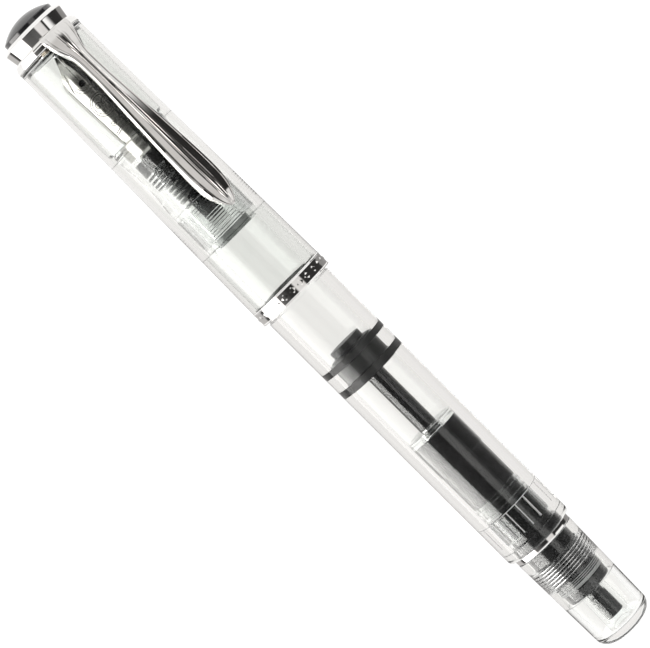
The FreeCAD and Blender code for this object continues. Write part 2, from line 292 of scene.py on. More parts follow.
clearPlastic = {"Transmission Weight": 1.0, "Specular Tint": (0.35, 0.36, 0.36, 1)}
finishes = {
    "clear": grained("clearAcrylic", {"IOR": 1.49, **clearPlastic},
                     180, (0.0, 0.012), 0.0, (0.965, 0.978, 0.970), (0.975, 0.985, 0.978)),
    "liner": grained("clearLiner", {"IOR": 1.47, **clearPlastic},
                     220, (0.0, 0.02), 0.0, (0.970, 0.980, 0.974), (0.980, 0.988, 0.982)),
    # painted highlight: a white, nearly opaque finish that stands in for the bright glints along
    # the collar's ribs and hoop and on the bush's thread rings
    "paintedGlint": grained("paintedEdgeGlint", {"Transmission Weight": 0.1, "IOR": 1.49},
                     900, (0.25, 0.45), 0.1, (0.94, 0.94, 0.94), (0.98, 0.98, 0.98)),
    "chrome": grained("polishedChrome", {"Metallic": 1.0},
                      260, (0.015, 0.05), 0.02, (0.84, 0.835, 0.82), (0.90, 0.895, 0.885)),
    "plated": grained("dullPlating", {"Metallic": 1.0},
                      500, (0.5, 0.65), 0.1, (0.80, 0.80, 0.79), (0.86, 0.86, 0.85)),
    "clip": grained("clipChrome", {"Metallic": 1.0},
                    320, (0.02, 0.06), 0.03, (0.66, 0.65, 0.635), (0.72, 0.71, 0.695)),
    "steel": grained("nibSteel", {"Metallic": 1.0},
                     700, (0.12, 0.22), 0.05, (0.46, 0.45, 0.43), (0.54, 0.53, 0.50),
                     (1, 1, 0.12)),
    # painted shade: the engraving's lines are near black because they stand in for the shade in
    # its grooves, which are not cut into the nib
    "engraved": grained("engravingGrooveShade", {"IOR": 1.5},
                        1500, (0.3, 0.5), 0.2, (0.05, 0.045, 0.04), (0.10, 0.09, 0.08)),
    "tipping": grained("tippingMetal", {"Metallic": 1.0},
                       2500, (0.18, 0.3), 0.1, (0.60, 0.60, 0.62), (0.72, 0.72, 0.74)),
    "screw": grained("dullBrass", {"Metallic": 1.0},
                     900, (0.25, 0.42), 0.2, (0.42, 0.36, 0.30), (0.56, 0.49, 0.41)),
    "black": grained("blackPlastic", {"IOR": 1.5, "Specular IOR Level": 1.0},
                     500, (0.09, 0.15), 0.01, (0.010, 0.010, 0.011), (0.018, 0.018, 0.019)),
    "feed": grained("blackFeed", {"IOR": 1.5},
                    900, (0.22, 0.36), 0.15, (0.012, 0.012, 0.013), (0.022, 0.022, 0.023)),
    "rubber": grained("blackSealRubber", {"IOR": 1.5},
                      1200, (0.32, 0.5), 0.25, (0.018, 0.018, 0.018), (0.030, 0.030, 0.030)),
    "seal": grained("greySeal", {"IOR": 1.5},
                    1200, (0.35, 0.5), 0.25, (0.80, 0.82, 0.80), (0.88, 0.90, 0.88)),
    "floor": grained("paleFloor", {"IOR": 1.45},
                     12, (0.7, 0.9), 0.0, (0.97, 0.97, 0.97), (0.99, 0.99, 0.99)),
}

bpy.context.scene.view_settings.view_transform = "Standard"
makeCamera()
makeWorld()
makeFloor(finishes["floor"])
print("camera, light and finishes ready")


def soften(corners, steps=5):
    # rounds each corner (radius, height, rounding) of a half section that states one
    points = []
    for index, corner in enumerate(corners):
        here = Vector(corner[:2])
        rounding = corner[2] if len(corner) > 2 else 0
        if not rounding:
            points.append(tuple(here))
            continue
        before = Vector(corners[index - 1][:2]) - here
        after = Vector(corners[(index + 1) % len(corners)][:2]) - here
        half = before.angle(after) / 2
        cut = min(rounding / math.tan(half), before.length * 0.49, after.length * 0.49)
        start, end = here + before.normalized() * cut, here + after.normalized() * cut
        for step in range(steps + 1):
            t = step / steps
            points.append(tuple(start * (1 - t) ** 2 + here * (2 * t * (1 - t)) + end * t * t))
    return points


def ballCurve(radius, edge, pole, steps=14):
    # points from a rim to the pole of a ball-shaped end, centred on the axis
    rise = pole - edge
    ball = (radius ** 2 + rise ** 2) / (2 * abs(rise))
    sweep = math.asin(radius / ball)
    sign = math.copysign(1, rise)
    return [(ball * math.sin(sweep * (1 - step / steps)),
             pole - sign * ball * (1 - math.cos(sweep * (1 - step / steps))))
            for step in range(1, steps + 1)]


def threadedWall(root, start, end, pitch):
    # closely spaced points on a straight wall, for a thread to be raised on
    count = max(2, round(abs(end - start) / pitch * 10))
    return [(root, start + (end - start) * step / count) for step in range(count + 1)]


def threadOf(sizes):
    # a thread's sizes, from the dictionary of the piece that carries it
    return {"root": sizes["threadRoot"], "depth": sizes["threadDepth"], "pitch": sizes["pitch"],
            "top": sizes["threadTop"], "low": sizes["threadLow"],
            "starts": sizes.get("starts", 1)}


def threadHeight(thread, radius, height, angle):
    if not thread or abs(radius - thread["root"]) > 1e-6:
        return 0
    if not thread["low"] <= height <= thread["top"]:
        return 0
    lead = thread["pitch"] * thread.get("starts", 1)
    phase = (height / thread["pitch"] - angle / (2 * math.pi) * lead / thread["pitch"]) % 1
    ridge = (0.5 - 0.5 * math.cos(2 * math.pi * phase)) ** thread.get("sharp", 1.5)
    edge = min(height - thread["low"], thread["top"] - height) / thread["pitch"]
    return thread["depth"] * ridge * min(1, max(0, edge))


def steadied(outline, shortest=0.5, gap=0.03):
    # adds a point close to each end of a long straight stretch, so that it shades flat
    points = []
    for index, point in enumerate(outline):
        points.append(point)
        last = index == len(outline) - 1
        if last and point[0] < 1e-6:
            break
        here, after = Vector(point), Vector(outline[(index + 1) % len(outline)])
        length = (after - here).length
        if length > shortest:
            along = (after - here) / length * gap
            points += [tuple(here + along), tuple(after - along)]
    return points


def turn(name, outline, turns=144, thread=None):
    # a closed solid of revolution from a half section, with an optional thread
    shape = bmesh.new()
    rings = []
    for radius, height in steadied(outline):
        if radius < 1e-6:
            rings.append([shape.verts.new((0, 0, height * mm))])
            continue
        ring = []
        for step in range(turns):
            angle = 2 * math.pi * step / turns
            reach = (radius + threadHeight(thread, radius, height, angle)) * mm
            ring.append(shape.verts.new((reach * math.cos(angle), reach * math.sin(angle),
                                         height * mm)))
        rings.append(ring)
    poles = len(rings[0]) == 1 and len(rings[-1]) == 1
    for first, second in zip(rings, rings[1:] if poles else rings[1:] + rings[:1]):
        if len(first) == 1 and len(second) == 1:
            continue
        for step in range(turns):
            after = (step + 1) % turns
            corners = [first[step % len(first)], first[after % len(first)],
                       second[after % len(second)], second[step % len(second)]]
            shape.faces.new(list(dict.fromkeys(corners)))
    return toObject(name, shape)


def toObject(name, shape, sharp=40):
    bmesh.ops.recalc_face_normals(shape, faces=shape.faces)
    mesh = bpy.data.meshes.new(name)
    shape.to_mesh(mesh)
    shape.free()
    return shaded(name, mesh, sharp)


def shaded(name, mesh, sharp=40):
    # an object that shades smoothly, but for edges sharper than this many degrees
    mesh.polygons.foreach_set("use_smooth", [True] * len(mesh.polygons))
    mesh.set_sharp_from_angle(angle=math.radians(sharp))
    piece = bpy.data.objects.new(name, mesh)
    collection.objects.link(piece)
    return piece


def lineInside(piece, finish):
    # gives the faces that look at the pen's axis a second finish
    piece.data.materials.append(finishes[finish])
    for face in piece.data.polygons:
        out = Vector((face.center.x, face.center.y, 0)).normalized()
        if face.normal.dot(out) < -0.5:
            face.material_index = 1


def spin(piece, angle):
    # turns a mesh about the pen's axis
    piece.data.transform(Quaternion((0, 0, 1), angle).to_matrix().to_4x4())


def place(piece, finish, body, slot, *nodes):
    # gives a finished piece its finish and body, and hides the parts of the frame that it
    # replaces; the slot it is given is not used
    if finish:
        piece.data.materials.clear()
        piece.data.materials.append(finishes[finish])
    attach(piece, body)
    if nodes:
        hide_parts(*nodes)


def newTree(name, inputs):
    tree = bpy.data.node_groups.new(name, "GeometryNodeTree")
    for label, kind in inputs:
        tree.interface.new_socket(name=label, in_out="INPUT", socket_type=kind)
    tree.interface.new_socket(name="Geometry", in_out="OUTPUT",
                              socket_type="NodeSocketGeometry")
    return tree, tree.nodes.new("NodeGroupInput"), tree.nodes.new("NodeGroupOutput")


def endTree(tree, source, last, output):
    # ends a tree in Realize Instances and Set Material
    real = tree.nodes.new("GeometryNodeRealizeInstances")
    finish = tree.nodes.new("GeometryNodeSetMaterial")
    tree.links.new(last, real.inputs[0])
    link(tree, real, 0, finish, "Geometry")
    link(tree, source, "Finish", finish, "Material")
    link(tree, finish, 0, output, 0)


def repeatTree():
    # copies a piece, each copy turned and raised a step further than the last
    tree, source, output = newTree("repeatedPiece", [
        ("Piece", "NodeSocketObject"), ("Count", "NodeSocketInt"),
        ("Step Angle", "NodeSocketFloat"), ("Step Height", "NodeSocketFloat"),
        ("Finish", "NodeSocketMaterial")])
    index = tree.nodes.new("GeometryNodeInputIndex")
    height = mathNode(tree, "MULTIPLY", (index, 0), (source, "Step Height"))
    angle = mathNode(tree, "MULTIPLY", (index, 0), (source, "Step Angle"))
    position = tree.nodes.new("ShaderNodeCombineXYZ")
    link(tree, height, 0, position, "Z")
    rotation = tree.nodes.new("ShaderNodeCombineXYZ")
    link(tree, angle, 0, rotation, "Z")
    points = tree.nodes.new("GeometryNodePoints")
    link(tree, source, "Count", points, "Count")
    link(tree, position, 0, points, "Position")
    shape = tree.nodes.new("GeometryNodeObjectInfo")
    link(tree, source, "Piece", shape, "Object")
    copies = tree.nodes.new("GeometryNodeInstanceOnPoints")
    link(tree, points, 0, copies, "Points")
    link(tree, shape, "Geometry", copies, "Instance")
    link(tree, rotation, 0, copies, "Rotation")
    endTree(tree, source, copies.outputs[0], output)
    return tree


def windTree():
    # winds a wire of a few sides into a helix: a screw thread or a fine groove line
    tree, source, output = newTree("woundThread", [
        ("Turns", "NodeSocketFloat"), ("Radius", "NodeSocketFloat"),
        ("Rise", "NodeSocketFloat"), ("Start Height", "NodeSocketFloat"),
        ("Wire Radius", "NodeSocketFloat"), ("Finish", "NodeSocketMaterial")])
    spiral = tree.nodes.new("GeometryNodeCurveSpiral")
    spiral.inputs["Resolution"].default_value = 64
    for label, socket in (("Turns", "Rotations"), ("Radius", "Start Radius"),
                          ("Radius", "End Radius"), ("Rise", "Height")):
        link(tree, source, label, spiral, socket)
    wire = tree.nodes.new("GeometryNodeCurvePrimitiveCircle")
    wire.inputs["Resolution"].default_value = 6
    link(tree, source, "Wire Radius", wire, "Radius")
    sweep = tree.nodes.new("GeometryNodeCurveToMesh")
    sweep.inputs["Fill Caps"].default_value = True
    link(tree, spiral, 0, sweep, "Curve")
    link(tree, wire, 0, sweep, "Profile Curve")
    start = tree.nodes.new("ShaderNodeCombineXYZ")
    link(tree, source, "Start Height", start, "Z")
    move = tree.nodes.new("GeometryNodeTransform")
    link(tree, sweep, 0, move, "Geometry")
    link(tree, start, 0, move, "Translation")
    endTree(tree, source, move.outputs[0], output)
    return tree


def grow(name, tree, values):
    # runs a tree once and keeps its result as a plain mesh
    holder = bpy.data.objects.new(name + "Source", bpy.data.meshes.new(name + "Source"))
    collection.objects.link(holder)
    modifier = holder.modifiers.new("build", "NODES")
    modifier.node_group = tree
    for item in tree.interface.items_tree:
        if item.in_out == "INPUT":
            modifier[item.identifier] = values[item.name]
    scene = bpy.context.evaluated_depsgraph_get()
    scene.update()
    mesh = bpy.data.meshes.new_from_object(holder.evaluated_get(scene))
    holder.modifiers.clear()
    bpy.data.objects.remove(holder)
    return shaded(name, mesh)


def repeated(name, seed, count, stepAngle, stepHeight, finish):
    piece = grow(name, repeating, {"Piece": seed, "Count": count, "Step Angle": stepAngle,
                                   "Step Height": stepHeight * mm, "Finish": finishes[finish]})
    bpy.data.objects.remove(seed)
    return piece


def wound(name, turns, radius, rise, start, wire, finish):
    return grow(name, winding, {"Turns": turns, "Radius": radius * mm, "Rise": rise * mm,
                                "Start Height": start * mm, "Wire Radius": wire * mm,
                                "Finish": finishes[finish]})


repeating, winding = repeatTree(), windTree()


def join(target, *others):
    # joins plain meshes into the first piece, keeping their finishes
    with bpy.context.temp_override(active_object=target, object=target,
                                   selected_editable_objects=[target, *others],
                                   selected_objects=[target, *others]):
        bpy.ops.object.join()


def block(name, low, high, bevel=0):
    # a box from its two corners, with softened edges
    shape = bmesh.new()
    bmesh.ops.create_cube(shape, size=1)
    for vert in shape.verts:
        for axis in range(3):
            ends = (low[axis], high[axis])
            vert.co[axis] = ends[vert.co[axis] > 0] * mm
    if bevel:
        bmesh.ops.bevel(shape, geom=shape.edges[:], offset=bevel * mm, segments=2,
                        affect="EDGES", profile=0.5)
    return toObject(name, shape)


def smoothCurve(stations, height):
    # a smooth value along the pen, through a few (height, value) stations
    if height <= stations[0][0]:
        return stations[0][1]
    for index in range(len(stations) - 1):
        (z0, v0), (z1, v1) = stations[index], stations[index + 1]
        if height <= z1:
            before = stations[max(index - 1, 0)]
            after = stations[min(index + 2, len(stations) - 1)]
            slope0 = (v1 - before[1]) / max(z1 - before[0], 1e-6)
            slope1 = (after[1] - v0) / max(after[0] - z0, 1e-6)
            width = z1 - z0
            t = (height - z0) / width
            return ((2 * t ** 3 - 3 * t ** 2 + 1) * v0 + (t ** 3 - 2 * t ** 2 + t) * slope0 * width
                    + (3 * t ** 2 - 2 * t ** 3) * v1 + (t ** 3 - t ** 2) * slope1 * width)
    return stations[-1][1]


crown = {"domeSide": 0.64, "rimRadius": 4.6, "wideRadius": 5.44, "neckRadius": 5.08,
         "bevel": 0.6, "seat": 1.2, "screwHole": 1.7, "domeGap": 0.02}
clipRing = {"bore": 4.96, "step": 0.16, "shelf": 0.55, "groove": 0.52, "lip": 0.62}


def makeCrown():
    low, high, radius = span("crown_dome")
    ringLow, ringHigh, _ = span("crown_ring")
    edge = ringHigh + crown["domeSide"]
    outline = soften([(0, low), (radius, low), (radius, edge - 0.12)])
    outline += [(radius - 0.03, edge)]
    dome = turn("crownDome", outline + ballCurve(radius - 0.03, edge, high))
    place(dome, "black", "cap", "black_plastic", "crown_dome")
    seat = ringHigh - crown["seat"]
    bevel = ringHigh - crown["bevel"]
    hole, well = crown["screwHole"], radius + crown["domeGap"]
    ring = turn("crownRing", soften([
        (hole, ringLow + 0.01), (crown["neckRadius"], ringLow + 0.01, 0.06),
        (crown["wideRadius"], bevel, 0.25), (crown["rimRadius"], ringHigh, 0.12),
        (well, ringHigh - 0.04, 0.03), (well, seat), (hole, seat)]), turns=192)
    place(ring, "chrome", "cap", "chrome_trim", "crown_ring")


def makeCrownScrew():
    low, high, radius = span("crown_screw")
    shank = turn("crownScrew", soften([(0, low), (radius - 0.25, low, 0.1), (radius, low + 0.25),
                                       (radius, high), (0, high)]))
    grooves = wound("crownScrewThread", 3, radius - 0.02, 1.5, low + 0.5, 0.09, "screw")
    join(shank, grooves)
    place(shank, "screw", "cap", "screw_metal", "crown_screw")


def makeClipRing():
    low, high, radius = span("clip_ring")
    bore = clipRing["bore"]
    ring = turn("clipRing", soften([
        (bore, high), (radius - clipRing["shelf"], high, 0.1), (radius - 0.2, high - 0.3, 0.12),
        (radius - 0.22, high - clipRing["groove"], 0.05), (radius, high - clipRing["lip"], 0.12),
        (radius, low + 0.12, 0.2), (radius - clipRing["step"], low, 0.08), (bore, low)]),
        turns=192)
    place(ring, "chrome", "cap", "chrome_trim", "clip_ring")


makeCrown()
makeCrownScrew()
makeClipRing()
print("crown and clip ring made")


clip = {
    "halfWidths": [(40.65, 0.05), (40.85, 0.45), (41.6, 1.05), (43.2, 1.72), (45.5, 2.12),
                   (48.5, 2.22), (54.0, 2.0), (60.0, 1.62), (66.0, 1.24), (68.5, 1.2),
                   (70.3, 1.24), (71.7, 1.5), (72.8, 1.95), (74.1, 2.42), (75.5, 2.66),
                   (76.25, 2.6)],
    "faces": [(40.65, 7.9), (42.0, 8.16), (43.6, 8.34), (45.4, 8.38), (47.5, 8.28),
              (52.0, 8.08), (58.0, 7.86), (63.0, 7.63), (68.0, 7.32), (73.5, 6.98),
              (75.4, 6.82), (75.95, 6.62), (76.25, 6.2)],
    "feet": [(40.65, 8.0), (42.0, 7.2), (44.0, 6.72), (46.0, 6.85), (50.0, 7.1),
             (60.0, 6.75), (68.0, 6.35), (73.0, 6.08), (76.25, 5.98)],
    "sheet": 0.32,
    "roof": 0.21,         # fall from the middle line to the shoulder groove
    "stations": 220,
    "crowding": 0.06,     # brings the stations closer together at both ends
    "grooves": (0.10, 0.26),
}


def clipSection(height):
    # one loop round the clip's folded sheet: over the face, then back underneath
    half = smoothCurve(clip["halfWidths"], height)
    face = smoothCurve(clip["faces"], height)
    foot = smoothCurve(clip["feet"], height)
    deep = max(face - foot, 0.1)
    scale = min(1, half / 1.2, deep / 0.75)
    roof = clip["roof"] * half / 2.2
    fine, second = clip["grooves"]
    outer = [(0, 0), (fine - 0.04, 0), (fine - 0.01, 0.06), (fine + 0.02, 0.06),
             (fine + 0.05, 0.005), (second - 0.04, 0.02), (second - 0.01, 0.07),
             (second + 0.02, 0.07), (second + 0.05, 0.03), (0.70, roof), (0.725, roof + 0.10),
             (0.755, roof + 0.10), (0.785, roof + 0.015), (0.86, roof - 0.01),
             (0.94, roof + 0.06), (0.985, roof + 0.2)]
    side = [(half * s, face - fall * scale) for s, fall in outer]
    side += [(half, max(face - (roof + 0.34) * scale, foot + 0.04)), (half, foot),
             (half - min(clip["sheet"], half * 0.5), foot)]
    inner = max(face - (roof + clip["sheet"] + 0.15) * scale, foot + 0.01)
    side += [(max(half - clip["sheet"] * 1.1, half * 0.45), inner),
             (0, inner + roof * 0.4 * scale)]
    left = [(-x, y) for x, y in reversed(side[1:-1])]
    return [(x, -y, height) for x, y in side + left]


def makeClip():
    low, high = clip["halfWidths"][0][0], clip["halfWidths"][-1][0]
    shape = bmesh.new()
    loops = []
    for step in range(clip["stations"] + 1):
        t = step / clip["stations"]
        eased = t - clip["crowding"] * math.sin(2 * math.pi * t)
        section = clipSection(low + (high - low) * eased)
        loops.append([shape.verts.new(Vector(p) * mm) for p in section])
    for first, second in zip(loops, loops[1:]):
        for index in range(len(first)):
            after = (index + 1) % len(first)
            shape.faces.new([first[index], first[after], second[after], second[index]])
    shape.faces.new(loops[0])
    shape.faces.new(loops[-1])
    piece = toObject("clipBlade", shape, 32)
    place(piece, "clip", "clip", "clip_chrome", "clip_blade")


makeClip()
print("clip made")


cap = {"threadRoot": 5.4, "threadDepth": -0.015, "pitch": 0.45, "threadTop": 44.4,
       "threadLow": 38.75, "upperBore": 5.3, "mouthBore": 5.98, "innerCapSeat": 56.5,
       "headRadius": 5.81, "neckRadius": 4.93, "screwHole": 1.7, "bandSeat": 0.22,
       "step": 1.0}
band = {"lozenges": 26, "reach": 0.62, "lift": 0.13, "bead": 0.06, "beadWidth": 0.26,
        "thick": 0.3}
innerCap = {"bore": 4.6, "roof": 0.22, "lip": 0.3}


def makeCapTube():
    low, neckTop, lip = span("cap_tube")
    top = span("clip_ring")[0]
    bandTop = span("cap_band")[1]
    ceiling = span("inner_cap")[1] + 0.05
    seat, shelf, mouth = lip - cap["bandSeat"], bandTop - 0.02, low + 0.02
    root, upper, innerSeat = cap["threadRoot"], cap["upperBore"], cap["innerCapSeat"]
    step = cap["threadLow"] - cap["step"]
    outline = soften([
        (cap["screwHole"], neckTop), (cap["screwHole"], ceiling), (upper, ceiling, 0.08),
        (upper, innerSeat, 0.03), (root, innerSeat - 0.03, 0.03),
        (root, cap["threadTop"] + 0.3)])
    outline += threadedWall(root, cap["threadTop"], cap["threadLow"], cap["pitch"])
    outline += soften([
        (root, step + 0.05), (cap["mouthBore"], step), (cap["mouthBore"], mouth, 0.1),
        (seat, mouth), (seat, shelf), (lip - 0.01, shelf, 0.05), (cap["headRadius"], top, 0.12),
        (cap["neckRadius"], top + 0.01), (cap["neckRadius"], neckTop)])
    tube = turn("capTube", outline, 168, threadOf(cap))
    place(tube, "clear", "cap", "clear_plastic", "cap_tube")


def makeCapBand():
    low, high, radius = span("cap_band")
    seat, face, wide = radius - band["thick"], radius - band["bead"], band["beadWidth"]
    bead = radius - 0.02
    ring = turn("capBand", soften([
        (seat, low), (bead, low, 0.07), (radius, low + wide * 0.5, 0.08),
        (bead, low + wide, 0.05), (face, low + wide + 0.03, 0.02),
        (face, high - wide - 0.03, 0.02), (bead, high - wide, 0.05),
        (radius, high - wide * 0.5, 0.08), (bead, high, 0.07), (seat, high)]), turns=240)
    middle, reach = (low + high) / 2, band["reach"]
    shape = bmesh.new()
    rim = [shape.verts.new(Vector((face - 0.03, x, middle + z)) * mm)
           for x, z in ((reach, 0), (0, reach), (-reach, 0), (0, -reach))]
    crest = shape.verts.new(Vector((face + band["lift"], 0, middle)) * mm)
    for index in range(4):
        shape.faces.new([rim[index], rim[(index + 1) % 4], crest])
    shape.faces.new(rim[::-1])
    seed = toObject("bandLozenge", shape, 5)
    pattern = repeated("capBandLozenges", seed, band["lozenges"],
                       2 * math.pi / band["lozenges"], 0, "chrome")
    join(ring, pattern)
    place(ring, "chrome", "cap", "band_chrome", "cap_band")
    lineInside(ring, "plated")


def makeInnerCap():
    low, high, wall = span("inner_cap")
    bore, lip, ceiling = innerCap["bore"], innerCap["lip"], high - innerCap["roof"]
    liner = turn("innerCap", soften([
        (0, high), (wall, high, 0.3), (wall, low + 0.4, 0.05), (wall - lip, low, 0.05),
        (bore, low, 0.06), (bore, ceiling, 0.35), (0, ceiling)]))
    place(liner, "liner", "cap_liner", "clear_liner", "inner_cap")


makeCapTube()
makeCapBand()
makeInnerCap()
print("cap made")


nib = {
    "turn": -27.0,                 # degrees round from the clip
    "sheet": 0.22,
    "radii": [(51.4, 1.94), (54.4, 1.95), (54.95, 2.3), (55.5, 2.37), (57.6, 2.37),
              (59.2, 2.5), (64.0, 2.72), (68.85, 2.85), (71.3, 2.55), (72.9, 2.12),
              (73.8, 1.85)],
    "halfWidths": [(51.4, 1.4), (54.4, 1.85), (54.95, 2.26), (55.5, 2.34), (57.6, 2.34),
                   (59.2, 2.44), (63.0, 2.52), (67.75, 2.74), (68.85, 2.78), (69.55, 2.45),
                   (71.0, 1.3), (72.8, 0.58), (73.8, 0.22)],
    "wraps": [(54.5, 1.0), (55.2, 1.3), (57.5, 1.3), (59.6, 1.0)],
    "breather": 68.05,
    "breatherRadius": 0.5,
    "slit": 0.07,
    "line": 0.055,                 # engraved line, half its width
    "ornament": 63.95,             # middle of the ring of scrolls
    "border": (58.6, 68.6),        # the stretch that has an edge line
    "scrolls": [(0.62, 64.15, 0.58, 1), (0.5, 63.1, 0.34, -1), (0.85, 60.9, 0.5, -1)],
    "shoulderLine": [(1.0, 70.7), (1.35, 69.8), (1.7, 68.9), (2.0, 67.9)],
    "crossLines": (59.7, 59.4),
    "tipOut": 1.74,                # from the pen's axis to the tipping bead
    "tipRadius": 0.40,
}


def turnNib(piece):
    spin(piece, math.radians(nib["turn"]))


def onNib(across, height, lift=0.0):
    # a point on the nib's top, so far across from its slit, at a height
    radius = smoothCurve(nib["radii"], height)
    angle = across / radius
    return Vector(((radius + lift) * math.sin(angle), -(radius + lift) * math.cos(angle), height))


def makeNib():
    low, high = nib["radii"][0][0], nib["radii"][-1][0]
    rows, columns = 90, 33
    shape = bmesh.new()
    layers = []
    for lift in (0, -nib["sheet"]):
        layer = []
        for row in range(rows + 1):
            height = low + (high - low) * row / rows
            radius = smoothCurve(nib["radii"], height)
            reach = math.asin(min(smoothCurve(nib["halfWidths"], height) / radius, 0.985))
            reach *= radius * smoothCurve(nib["wraps"], height)
            across = [reach * (2 * c / (columns - 1) - 1) for c in range(columns)]
            layer.append([shape.verts.new(onNib(x, height, lift) * mm) for x in across])
        layers.append(layer)
    for layer in layers:
        for row in range(rows):
            for c in range(columns - 1):
                shape.faces.new([layer[row][c], layer[row][c + 1],
                                 layer[row + 1][c + 1], layer[row + 1][c]])
    top, under = layers
    edge = ([(row, 0) for row in range(rows)] + [(rows, c) for c in range(columns - 1)]
            + [(row, columns - 1) for row in range(rows, 0, -1)]
            + [(0, c) for c in range(columns - 1, 0, -1)])
    for index, (row, c) in enumerate(edge):
        nextRow, nextC = edge[(index + 1) % len(edge)]
        shape.faces.new([top[row][c], top[nextRow][nextC], under[nextRow][nextC], under[row][c]])
    piece = toObject("nib", shape, 50)
    cutters = [block("slitCutter", (-nib["slit"] / 2, -4, nib["breather"]),
                     (nib["slit"] / 2, -1, high + 1))]
    drill = turn("breatherCutter", [(0, -4), (nib["breatherRadius"], -4),
                                    (nib["breatherRadius"], -1), (0, -1)], 40)
    for vert in drill.data.vertices:
        x, y, z = vert.co
        vert.co = (x, z, y + nib["breather"] * mm)
    drill.data.flip_normals()
    cutters.append(drill)
    carve(piece, cutters)
    return piece


def carve(piece, cutters):
    # cuts shapes out of a piece and keeps the result as a plain mesh
    for cutter in cutters:
        cut = piece.modifiers.new("cut", "BOOLEAN")
        cut.operation, cut.solver, cut.object = "DIFFERENCE", "EXACT", cutter
    scene = bpy.context.evaluated_depsgraph_get()
    scene.update()
    mesh = bpy.data.meshes.new_from_object(piece.evaluated_get(scene))
    piece.modifiers.clear()
    piece.data = mesh
    for cutter in cutters:
        bpy.data.objects.remove(cutter)
    mesh.set_sharp_from_angle(angle=math.radians(50))


def wire(shape, points, radius, sides=5):
    # sweeps a thin round line through points that lie on a surface
    rings = []
    for index, point in enumerate(points):
        before = points[max(index - 1, 0)]
        after = points[min(index + 1, len(points) - 1)]
        along = (after - before).normalized()
        out = Vector((point.x, point.y, 0)).normalized()
        side = along.cross(out).normalized()
        rings.append([shape.verts.new((point + side * math.cos(a) * radius
                                       + out * math.sin(a) * radius) * mm)
                      for a in (2 * math.pi * k / sides for k in range(sides))])
    for first, second in zip(rings, rings[1:]):
        for k in range(sides):
            after = (k + 1) % sides
            shape.faces.new([first[k], first[after], second[after], second[k]])
    shape.faces.new(rings[0])
    shape.faces.new(rings[-1])


def engravedLines():
    # plain rings, scrolls and border lines, the same on both sides of the slit
    lines = []
    centre = nib["ornament"]
    for radius in (1.02, 1.5):                    # rings round the breather hole
        lines.append([(radius * math.sin(a), nib["breather"] - radius * math.cos(a))
                      for a in (math.pi * (k / 24 - 0.5) for k in range(25))])
    for radius in (1.45, 1.8):
        lines.append([(radius * math.sin(a), centre + radius * math.cos(a))
                      for a in (math.pi * k / 24 for k in range(49))])
    low, high = nib["border"]
    for side in (-1, 1):
        border = []
        for step in range(31):                    # follows the edge of the nib
            height = low + (high - low) * step / 30
            border.append((side * (smoothCurve(nib["halfWidths"], height) - 0.25), height))
        lines.append(border)
        for x, z, size, bend in nib["scrolls"]:
            scroll = []
            for step in range(37):
                a = step / 36 * 3.2 * math.pi
                reach = size * (0.15 + 0.85 * step / 36)
                scroll.append((side * (x + reach * math.cos(a)), z + bend * reach * math.sin(a)))
            lines.append(scroll)
        for shift in (0.0, 0.5):
            lines.append([(side * x, z - shift) for x, z in nib["shoulderLine"]])
    for height in nib["crossLines"]:              # in front of the section
        lines.append([(-1.9 + 3.8 * k / 20, height + 0.15 * math.cos(math.pi * (k / 10 - 1)))
                      for k in range(21)])
    return lines


def makeNibUnit():
    piece = makeNib()
    turnNib(piece)
    place(piece, "steel", "barrel", "nib_steel", "nib")
    # the engraving is real; it is drawn as thin dark wires on the nib's top, with painted shade in
    # place of cut grooves
    shape = bmesh.new()
    for line in engravedLines():
        wire(shape, [onNib(x, z) for x, z in line], nib["line"])
    lines = toObject("nibEngraving", shape)
    turnNib(lines)
    place(lines, "engraved", "barrel", "nib_steel")
    high = span("nib_tipping")[1]
    shape = bmesh.new()
    bmesh.ops.create_uvsphere(shape, u_segments=24, v_segments=16,
                              radius=nib["tipRadius"] * mm)
    for vert in shape.verts:                      # a flattened, lengthened ball
        vert.co = Vector((vert.co.x, vert.co.y * 0.9 - nib["tipOut"] * mm,
                          vert.co.z * 1.15 + (high - 0.42) * mm))
    bead = toObject("nibTipping", shape)
    half = nib["slit"] / 2
    carve(bead, [block("tipCutter", (-half, -4, high - 2), (half, 0, high + 1))])
    turnNib(bead)
    place(bead, "tipping", "barrel", "tipping_metal", "nib_tipping")


feed = {"finLow": 44.72, "finPitch": 0.8, "fins": 6, "finRadius": 2.7, "finWide": 0.42,
        "stem": 1.5, "neck": 1.68, "throat": 2.1, "front": 2.05, "nose": 0.7,
        "frontPitch": 0.62, "frontFins": 16, "frontWidth": 1.3, "frontRadius": 2.2,
        "leafThick": 0.3}


def flattenSides(piece, half):
    # presses a round shape to flats on its two sides
    for vert in piece.data.vertices:
        vert.co.x = max(-half * mm, min(half * mm, vert.co.x))


def finOutline(root, radius, low, thick):
    high = low + thick
    return soften([(root, low), (radius, low, 0.05), (radius, high, 0.05), (root, high)], 2)


